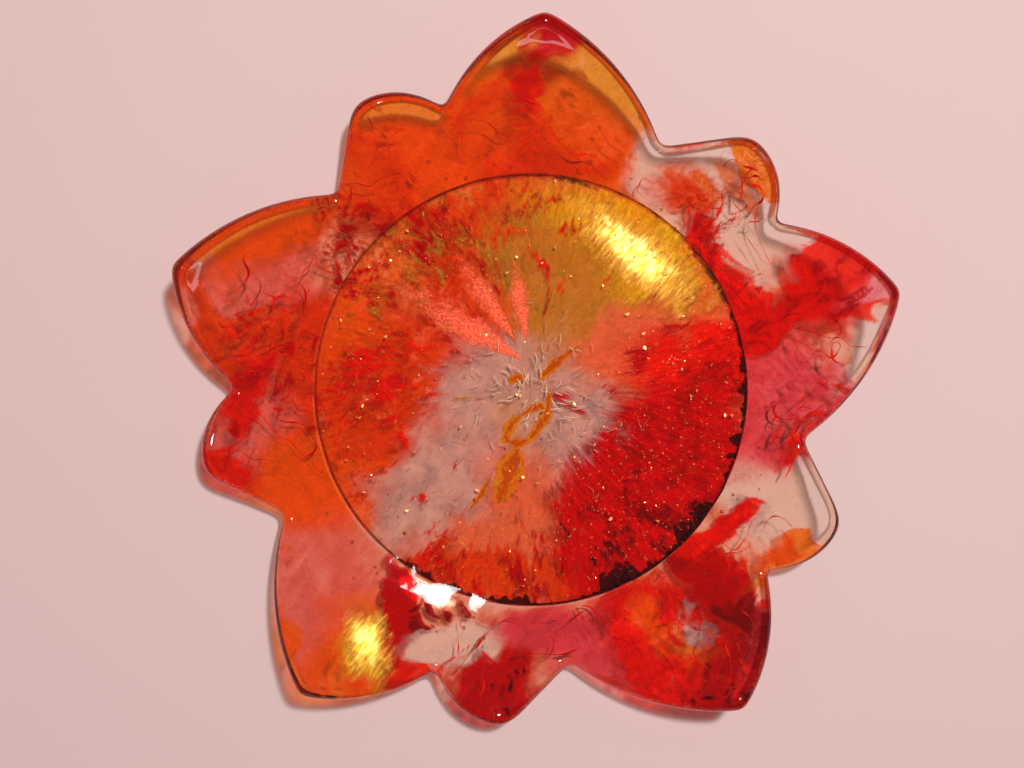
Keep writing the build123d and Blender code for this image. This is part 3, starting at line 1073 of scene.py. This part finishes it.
beside = (ring + 1) % foil_corners
foil_faces = (foil_first + ring).tolist()
foil_faces += (foil_first + foil_corners + ring[::-1]).tolist()
foil_sides = np.stack([ring, ring + foil_corners, beside + foil_corners, beside], 1)
foil_faces += (foil_first[:, None] + foil_sides[None]).reshape(-1, 4).tolist()
foil_mesh = bpy.data.meshes.new("foil_flakes_loose")
foil_mesh.from_pydata(foil_points, [], foil_faces)
set_attribute(foil_mesh, "shade", np.repeat(random.random(foil_count), 2 * foil_corners))

foil_leaf, tree, output = new_material("copper_and_gold_leaf")
shade = stored(tree, "shade")
leaf = blend(tree, ramp(tree, shade, 0.2, 0.9), linear("#F4742C"), linear("#FFDC98"))
foil = add(
    tree, "ShaderNodeBsdfPrincipled", {"Base Color": leaf, "Metallic": 0.5, "Roughness": 0.35}
)
tree.links.new(foil.outputs[0], output.inputs["Surface"])
finish_piece(foil_mesh, foil_leaf, ["foil_flakes"])

# %% [markdown]
# ## Runs of amber ink
# A spoonful of amber ink ran through the middle: a short streak, a loop, a blob and a
# thread. Each is a strip whose width wavers. The same strip, wide and fanned out, makes
# the coral mica's wedges.


# %% Runs along a line, and how a smear shows
def shown_in_resin(tree, output, share, body, clear_hex):
    """Shows a body by its share, and lets light straight through the rest, faintly tinted."""
    clear = add(tree, "ShaderNodeBsdfTransparent", {"Color": linear(clear_hex)})
    inputs = {0: share, 1: clear.outputs[0], 2: body.outputs[0]}
    smear = add(tree, "ShaderNodeMixShader", inputs)
    tree.links.new(smear.outputs[0], output.inputs["Surface"])


def run_along(ends, widths, seed, stations=64, bend=0.0):
    """A path between two places in millimetres and its half widths: the width is given at
    even steps along it and wavers, and the path bows sideways."""
    share = np.linspace(0, 1, stations)
    start, end = complex(*ends[0]), complex(*ends[1])
    path = (start + (end - start) * (share + 1j * bend * np.sin(np.pi * share))) * MM
    half = np.interp(share, np.linspace(0, 1, len(widths)), widths) / 2
    return path, half * (1 + 0.14 * ripple(share * 40, share * 11 + seed, 9, seed)) * MM


def lay_runs(name, runs, height, half_thickness):
    """One mesh from several runs, all at one height."""
    paths = np.array([path for path, _ in runs])
    halves = np.array([half for _, half in runs])
    return strips(name, paths, halves, np.full(paths.shape, height), half_thickness, 12)


amber_runs = [
    run_along([(18.0, 18.0), (2.5, 3.5)], [0.3, 1.4, 2.4, 3.6, 4.4, 3.6, 0.8], 21, bend=-0.04),
    run_along([(-2.2, 5.2), (-9.0, 3.6)], [0.6, 3.8, 4.6, 4.0, 0.6], 22),
    run_along([(-4.0, -21.5), (-11.0, -43.0)], [1.0, 8.5, 10.5, 10.0, 9.0, 6.0, 1.0], 23),
    run_along([(-13.5, -31.0), (-22.0, -46.0)], [0.2, 1.4, 2.4, 1.4, 0.2], 24, bend=0.05),
    run_along([(7.0, 1.5), (6.5, -7.0)], [0.2, 1.8, 2.8, 2.0], 25),
]
amber_mesh = lay_runs("amber_runs", amber_runs, 3.7 * MM, 0.25 * MM)
loop_turn = np.linspace(0, 2 * np.pi, 96, endpoint=False)
loop_shape = 9.6 * np.cos(loop_turn) + 4.2j * np.sin(loop_turn)
loop_shape *= 1 + 0.14 * ripple(10 * np.cos(loop_turn), 10 * np.sin(loop_turn), 14, 26)
loop_path = (complex(-1.6, -13.2) + loop_shape * np.exp(1j * math.radians(43))) * MM
loop_half = (1.7 + 0.8 * ripple(9 * np.cos(loop_turn), 9 * np.sin(loop_turn), 7, 27)) * MM
loop_height = np.full((1, 96), 3.7 * MM)
loop_mesh = strips(
    "amber_loop", loop_path[None], loop_half[None], loop_height, 0.25 * MM, 12, looped=True
)

amber_ink, tree, output = new_material("amber_ink_pool")
place = add(tree, "ShaderNodeTexCoord").outputs["Object"]
pooling = cloudy(tree, place, 320.0, 6.0, 0.65, 1.2)
torn_edge = combine(tree, "MULTIPLY_ADD", stored(tree, "reach"), -0.30, pooling)
amber_tone = blend(tree, ramp(tree, torn_edge, 0.18, 0.44), linear("#F0B420"), linear("#C04C06"))
amber = add(
    tree,
    "ShaderNodeBsdfPrincipled",
    {"Base Color": amber_tone, "Roughness": 0.35, "Specular IOR Level": 0.0},
)
shown_in_resin(tree, output, ramp(tree, torn_edge, 0.16, 0.42, 0.05, 0.84), amber, "#FCDC8C")
finish_piece(amber_mesh, amber_ink, ["amber_ink_pools"], casts=False)
finish_piece(loop_mesh, amber_ink, ["amber_ink_pools"], casts=False)

# %% [markdown]
# ## Coral and gold mica
# Two smears of pearl mica have their own colour. The coral one is three wedges that start
# sharp near the middle and fan out into grains, and the paler grains are partly painted
# glitter. The gold one is a broad cloud under the far side, and its middle is painted pale as
# a painted yellow glow of the lamp. Each is a thin body that shows where there is mica
# and is clear elsewhere. A smaller lens of the same gold in the near left petal is no
# mica but a painted glow where light gathers in the petal.

# %% Coral wedges
coral_runs = [
    run_along([(-4.5, 12.0), (-52.0, 38.0)], [1.0, 5.5, 10.0, 14.0, 17.0, 19.0, 20.0], 31),
    run_along([(-2.5, 19.0), (-8.5, 50.0)], [0.6, 3.4, 6.0, 8.0, 10.0, 11.0], 32),
    run_along([(-6.5, 18.5), (-29.5, 50.0)], [0.6, 3.8, 7.0, 10.0, 12.5, 14.0], 33),
]
coral_mesh = lay_runs("coral_wedges", coral_runs, 3.5 * MM, 0.15 * MM)
coral_mica, tree, output = new_material("coral_pearl_mica")
place = add(tree, "ShaderNodeTexCoord").outputs["Object"]
sheen = cloudy(tree, place, 1100.0, 4.0, 0.75, 0.3)
patches = cloudy(tree, place, 180.0, 6.0, 0.7, 0.8)
# The paler grains are partly the mica's own grain and partly painted glitter.
coral_tone = blend(tree, ramp(tree, sheen, 0.40, 0.60), linear("#B82406"), linear("#EC6430"))
coral_bump = add(
    tree, "ShaderNodeBump", {"Height": sheen, "Strength": 0.6, "Distance": 0.2 * MM}
).outputs["Normal"]
coral = add(
    tree,
    "ShaderNodeBsdfPrincipled",
    {"Base Color": coral_tone, "Metallic": 0.35, "Roughness": 0.5, "Normal": coral_bump},
)
torn_edge = combine(tree, "MULTIPLY_ADD", stored(tree, "reach"), -0.44, patches)
torn_end = combine(tree, "POWER", stored(tree, "progress"), 1.6)
torn_edge = combine(tree, "MULTIPLY_ADD", torn_end, -0.72, torn_edge)
torn_edge = combine(tree, "MULTIPLY_ADD", sheen, 0.5, torn_edge)
shown_in_resin(tree, output, ramp(tree, torn_edge, 0.0, 0.66, 0.0, 0.86), coral, "#FFFAF8")
finish_piece(coral_mesh, coral_mica, ["coral_mica_wedge"], casts=False)


# %% Gold cloud
def oval_lens(name, centre, size, turn, depth, half_thickness, seed):
    """A thin lens with a ragged oval edge at a depth in the wall, as rings from its middle
    over the top, round and back. Its points carry the share of the way to the edge."""
    rows, back, columns = 40, 6, 180
    shares = np.concatenate([np.linspace(0.03, 1, rows), np.linspace(0.93, 0.1, back)])
    side = np.repeat([1, -1], [rows, back])
    angle = np.linspace(0, 2 * np.pi, columns, endpoint=False)
    shape = size[0] / 2 * np.cos(angle) + 1j * size[1] / 2 * np.sin(angle)
    shape *= 1 + 0.16 * ripple(12 * np.cos(angle), 12 * np.sin(angle), 13, seed)
    plan = (complex(*centre) + shares[:, None] * shape * np.exp(1j * math.radians(turn))) * MM
    bulge = side * half_thickness * np.sqrt(np.clip(1 - shares**2, 0, 1))
    points = lift(plan, wall_height(abs(plan), depth) + bulge[:, None])
    middle = complex(*centre) * MM
    level = wall_height(abs(middle), depth)
    poles = [(middle.real, middle.imag, level + d) for d in (half_thickness, -half_thickness)]
    mesh = ring_mesh(name, points, poles)
    set_attribute(mesh, "reach", np.append(np.repeat(shares, columns), (0, 0)))
    return mesh


gold_mesh = oval_lens("gold_mica_cloud", (37.5, 53), (70, 29), -35, 3.7 * MM, 0.2 * MM, 51)
# A painted glow: a small gold lens in the near left petal stands for light gathered there, not for
# mica.
caustic_glow_mesh = oval_lens("painted_caustic_glow", (-57, -96), (32, 22), 118, 3.2 * MM, 0.2 * MM, 54)
gold_mica, tree, output = new_material("gold_mica_with_painted_glow")
place = add(tree, "ShaderNodeTexCoord").outputs["Object"]
reach = stored(tree, "reach")
# The strokes run outwards through the cloud, 1 mm apart and 6 mm long.
turned = add(tree, "ShaderNodeMapping", {"Vector": place, "Rotation": (0.0, 0.0, 0.66)}).outputs[0]
scratches = add(
    tree, "ShaderNodeVectorMath", {0: turned, 1: (850.0, 170.0, 0.0)}, operation="MULTIPLY"
).outputs[0]
scratch = cloudy(tree, scratches, 1.0, 5.0, 0.6, 0.5)
drifts = cloudy(tree, place, 90.0, 6.0, 0.6, 1.2)
# The cloud keeps the gold mica's own scratched colour. Towards its middle it is painted pale
# yellow to white as a painted glow of the lamp, and metallic rises there too.
dull = blend(tree, ramp(tree, scratch, 0.36, 0.64), linear("#B07C10"), linear("#F0BC20"))
bright = blend(tree, ramp(tree, scratch, 0.40, 0.60), linear("#F0C020"), linear("#FFF6A8"))
glow_heart = combine(tree, "SUBTRACT", combine(tree, "MULTIPLY_ADD", drifts, 1.0, 0.02), reach)
gold_tone = blend(tree, ramp(tree, glow_heart, -0.05, 0.30), dull, bright)
gold_bump = add(
    tree, "ShaderNodeBump", {"Height": scratch, "Strength": 0.5, "Distance": 0.25 * MM}
).outputs["Normal"]
metal = ramp(tree, glow_heart, -0.10, 0.25, 0.15, 0.70)
gold = add(
    tree,
    "ShaderNodeBsdfPrincipled",
    {"Base Color": gold_tone, "Metallic": metal, "Roughness": 0.5, "Normal": gold_bump},
)
fading = combine(tree, "SUBTRACT", combine(tree, "MULTIPLY_ADD", scratch, 0.8, drifts), reach)
shown_in_resin(tree, output, ramp(tree, fading, -0.05, 0.75), gold, "#FFFCF0")
finish_piece(gold_mesh, gold_mica, ["gold_mica_patch"], casts=False)
finish_piece(caustic_glow_mesh, gold_mica, ["petal_shell"], casts=False)

# %% [markdown]
# ## The dark line round the foot
# Ink crept to the foot's edge before the second pour and dried there: hardly at all on the
# left, in a hair line on the far side, and in a broad ragged band on the near right. It is
# one closed ring whose inner edge wanders and whose width follows the side it ran to.

# %% Dark ring of ink
ring_columns = 900
ring_turn = np.linspace(0, 2 * np.pi, ring_columns, endpoint=False)
ring_x, ring_y = 81 * np.cos(ring_turn), 81 * np.sin(ring_turn)
heavy = 0.5 + 0.5 * np.cos(ring_turn - math.radians(-52))
wander = ripple(ring_x, ring_y, 26, 61) + 0.9 * ripple(ring_x, ring_y, 7, 62)
wander = np.clip(wander + 0.6 * ripple(ring_x, ring_y, 3.5, 64), -0.75, 1.6)
far_side = np.clip(np.cos(ring_turn - math.radians(98)), 0, 1) ** 6
ring_width = 0.12 + 2.9 * heavy**2.5 * (1 + wander) + 0.5 * far_side * (1 + 0.5 * wander)
ring_outer = 80.9 + 0.3 * heavy * ripple(ring_x, ring_y, 12, 63)
section = np.radians(np.arange(0, 360, 45))[:, None]
ring_middle = ring_outer - ring_width / 2
ring_radius = ring_middle + ring_width / 2 * np.cos(section)
ring_plan = ring_radius * MM * np.exp(1j * ring_turn)
ring_height = foot_height + (0.05 + 0.22 * np.sin(section)) * MM
ring_points = lift(ring_plan, np.broadcast_to(ring_height, ring_plan.shape))
line_mesh = ring_mesh("dark_ink_ring", ring_points[::-1], wrap_rows=True)
line_reach = (np.cos(section) + 0 * ring_turn).ravel()
set_attribute(line_mesh, "reach", line_reach[::-1])
set_attribute(line_mesh, "heavy", np.tile(heavy, len(section)))

dark_ink, tree, output = new_material("dark_ink_dried")
place = add(tree, "ShaderNodeTexCoord").outputs["Object"]
reach = stored(tree, "reach")
crumbs = cloudy(tree, place, 260.0, 6.0, 0.65, 1.0)
dark_tone = blend(tree, ramp(tree, crumbs, 0.40, 0.62), linear("#0C0204"), linear("#480406"))
dark = add(
    tree,
    "ShaderNodeBsdfPrincipled",
    {"Base Color": dark_tone, "Roughness": 0.4, "Specular IOR Level": 0.0},
)
kept = combine(tree, "MULTIPLY_ADD", reach, 0.09, crumbs)
kept = combine(tree, "MULTIPLY_ADD", stored(tree, "heavy"), 0.23, kept)
shown_in_resin(tree, output, ramp(tree, kept, 0.62, 0.71), dark, "#FDEAE2")
finish_piece(line_mesh, dark_ink, ["dark_ink_line"], casts=False)

# %% [markdown]
# ## Air bubbles
# Stirring leaves air in epoxy. A bubble is a small ball of air, so light that meets it
# from inside the resin goes from dense to thin: an index of 1 over 1.53.

# %% Bubbles
bubble_count = 130
bubble_rows, bubble_columns = 7, 12
bubble_places = scattered(bubble_count, 64, 96, random)
bubble_size = random.uniform(0.25, 0.8, bubble_count) * MM
fall = np.linspace(0, np.pi, bubble_rows + 2)[1:-1]
around = np.arange(bubble_columns) * 2 * np.pi / bubble_columns
ball_plan = np.sin(fall)[:, None] * np.exp(1j * around)
ball_height = np.broadcast_to(np.cos(fall)[:, None], ball_plan.shape)
bubble_level = wall_height(abs(bubble_places), wall_thickness * 0.3)
bubble_plan = bubble_places[:, None, None] + bubble_size[:, None, None] * ball_plan
bubble_height = bubble_level[:, None, None] + bubble_size[:, None, None] * ball_height
bubble_grid = lift(bubble_plan, bubble_height).reshape(bubble_count, -1, 3)
bubble_tops = lift(bubble_places, bubble_level + bubble_size)[:, None]
bubble_feet = lift(bubble_places, bubble_level - bubble_size)[:, None]
bubble_points = np.concatenate([bubble_grid, bubble_tops, bubble_feet], 1)
one = bubble_points.shape[1]
ball_ring = np.arange(bubble_columns)
ball_beside = (ball_ring + 1) % bubble_columns
ball_end = (bubble_rows - 1) * bubble_columns
first_fan = np.stack([0 * ball_ring + one - 2, ball_ring, ball_beside], 1)
last_fan = np.stack([0 * ball_ring + one - 1, ball_end + ball_beside, ball_end + ball_ring], 1)
bubble_first = np.arange(bubble_count)[:, None, None] * one
bubble_faces = []
for part in (grid_faces(bubble_rows, bubble_columns, False), first_fan, last_fan):
    bubble_faces += (bubble_first + part[None]).reshape(-1, part.shape[1]).tolist()
bubble_mesh = bpy.data.meshes.new("air_bubbles")
bubble_mesh.from_pydata(bubble_points.reshape(-1, 3), [], bubble_faces)
bubble_mesh.shade_smooth()

trapped_air, tree, output = new_material("air_in_epoxy")
air = add(
    tree,
    "ShaderNodeBsdfPrincipled",
    {"Base Color": (1, 1, 1, 1), "Transmission Weight": 1.0, "IOR": 0.654, "Roughness": 0.0},
)
path = add(tree, "ShaderNodeLightPath")
straight = add(tree, "ShaderNodeBsdfTransparent")
passing = combine(tree, "MAXIMUM", path.outputs["Is Shadow Ray"], path.outputs["Is Diffuse Ray"])
air_mix = add(
    tree, "ShaderNodeMixShader", {0: passing, 1: air.outputs[0], 2: straight.outputs[0]}
)
tree.links.new(air_mix.outputs[0], output.inputs["Surface"])
finish_piece(bubble_mesh, trapped_air, ["petal_shell"])

# %% [markdown]
# ## Floor, light and camera
# The bowl lies on a plain pale floor. The key is a soft box above the far side, a little
# to the right and about 18 degrees off the vertical, which throws the rim's shadow towards
# the near side; a weak halo round it softens its glare. Three low strips draw thin lines
# along the round rim, and a pale sky lights the rest.

# %% Floor
floor_mesh = bpy.data.meshes.new("floor")
floor_half = 1.5
floor_corners = np.array([(-1, -1, 0), (1, -1, 0), (1, 1, 0), (-1, 1, 0)]) * floor_half
floor_mesh.from_pydata(floor_corners - (0, 0, 0.1 * MM), [], [(0, 1, 2, 3)])
floor = bpy.data.objects.new("floor", floor_mesh)
bpy.context.scene.collection.objects.link(floor)
floor_paper, tree, output = new_material("pale_paper")
paper = add(
    tree, "ShaderNodeBsdfPrincipled", {"Base Color": linear("#E6C4C0"), "Roughness": 0.9}
)
tree.links.new(paper.outputs[0], output.inputs["Surface"])
floor_mesh.materials.append(floor_paper)


# %% Light
def soft_box(name, azimuth, off_vertical, distance, wide, high, power):
    """An oblong area light that looks at the bowl from a direction, in degrees."""
    lamp = bpy.data.lights.new(name, "AREA")
    lamp.shape = "RECTANGLE"
    lamp.size, lamp.size_y = wide, high
    lamp.energy = power
    box = bpy.data.objects.new(name, lamp)
    bpy.context.scene.collection.objects.link(box)
    turn, lean = math.radians(azimuth), math.radians(off_vertical)
    away = (math.sin(lean) * math.cos(turn), math.sin(lean) * math.sin(turn), math.cos(lean))
    box.location = [distance * part for part in away]
    box.rotation_euler = (0, lean, turn)


soft_box("key", 59, 18, 1.5, 0.085, 0.085, 18.4)
soft_box("halo", 59, 18, 1.6, 0.18, 0.18, 1.2)
for azimuth in (160, 250, 340):
    soft_box("strip", azimuth, 79, 1.2, 0.05, 1.1, 0.5)
world = bpy.data.worlds.new("sky")
bpy.context.scene.world = world
world.use_nodes = True
tree = world.node_tree
sky = tree.nodes["Background"]
sky.inputs["Color"].default_value = linear("#FFF6F2")
sky.inputs["Strength"].default_value = 0.12
# Seen directly, past the edge of the floor, the sky is as pale as the floor is there.
beyond = add(tree, "ShaderNodeBackground", {"Color": linear("#C4AEAA"), "Strength": 1.0})
direct = add(tree, "ShaderNodeLightPath").outputs["Is Camera Ray"]
backdrop = add(tree, "ShaderNodeMixShader", {0: direct, 1: sky.outputs[0], 2: beyond.outputs[0]})
tree.links.new(backdrop.outputs[0], tree.nodes["World Output"].inputs["Surface"])
bpy.context.scene.view_settings.view_transform = "Standard"

# %% Camera
camera_distance = 0.69
picture_width = 0.3618
sensor_width = 36.0
tilt = math.radians(3.4)
roll = math.radians(2.0)
aim_x, aim_y = -8.6 * MM, 4.4 * MM
rim_level = 0.040
camera_data = bpy.data.cameras.new("camera")
camera_data.sensor_width = sensor_width
camera_data.lens = sensor_width * (camera_distance - rim_level) / picture_width
camera = bpy.data.objects.new("camera", camera_data)
bpy.context.scene.collection.objects.link(camera)
camera.location = (
    aim_x,
    aim_y + math.sin(tilt) * (camera_distance - rim_level),
    rim_level + math.cos(tilt) * (camera_distance - rim_level),
)
camera.rotation_euler = (-tilt, 0, roll)
bpy.context.scene.camera = camera

# %% The end
bpy.context.view_layer.update()
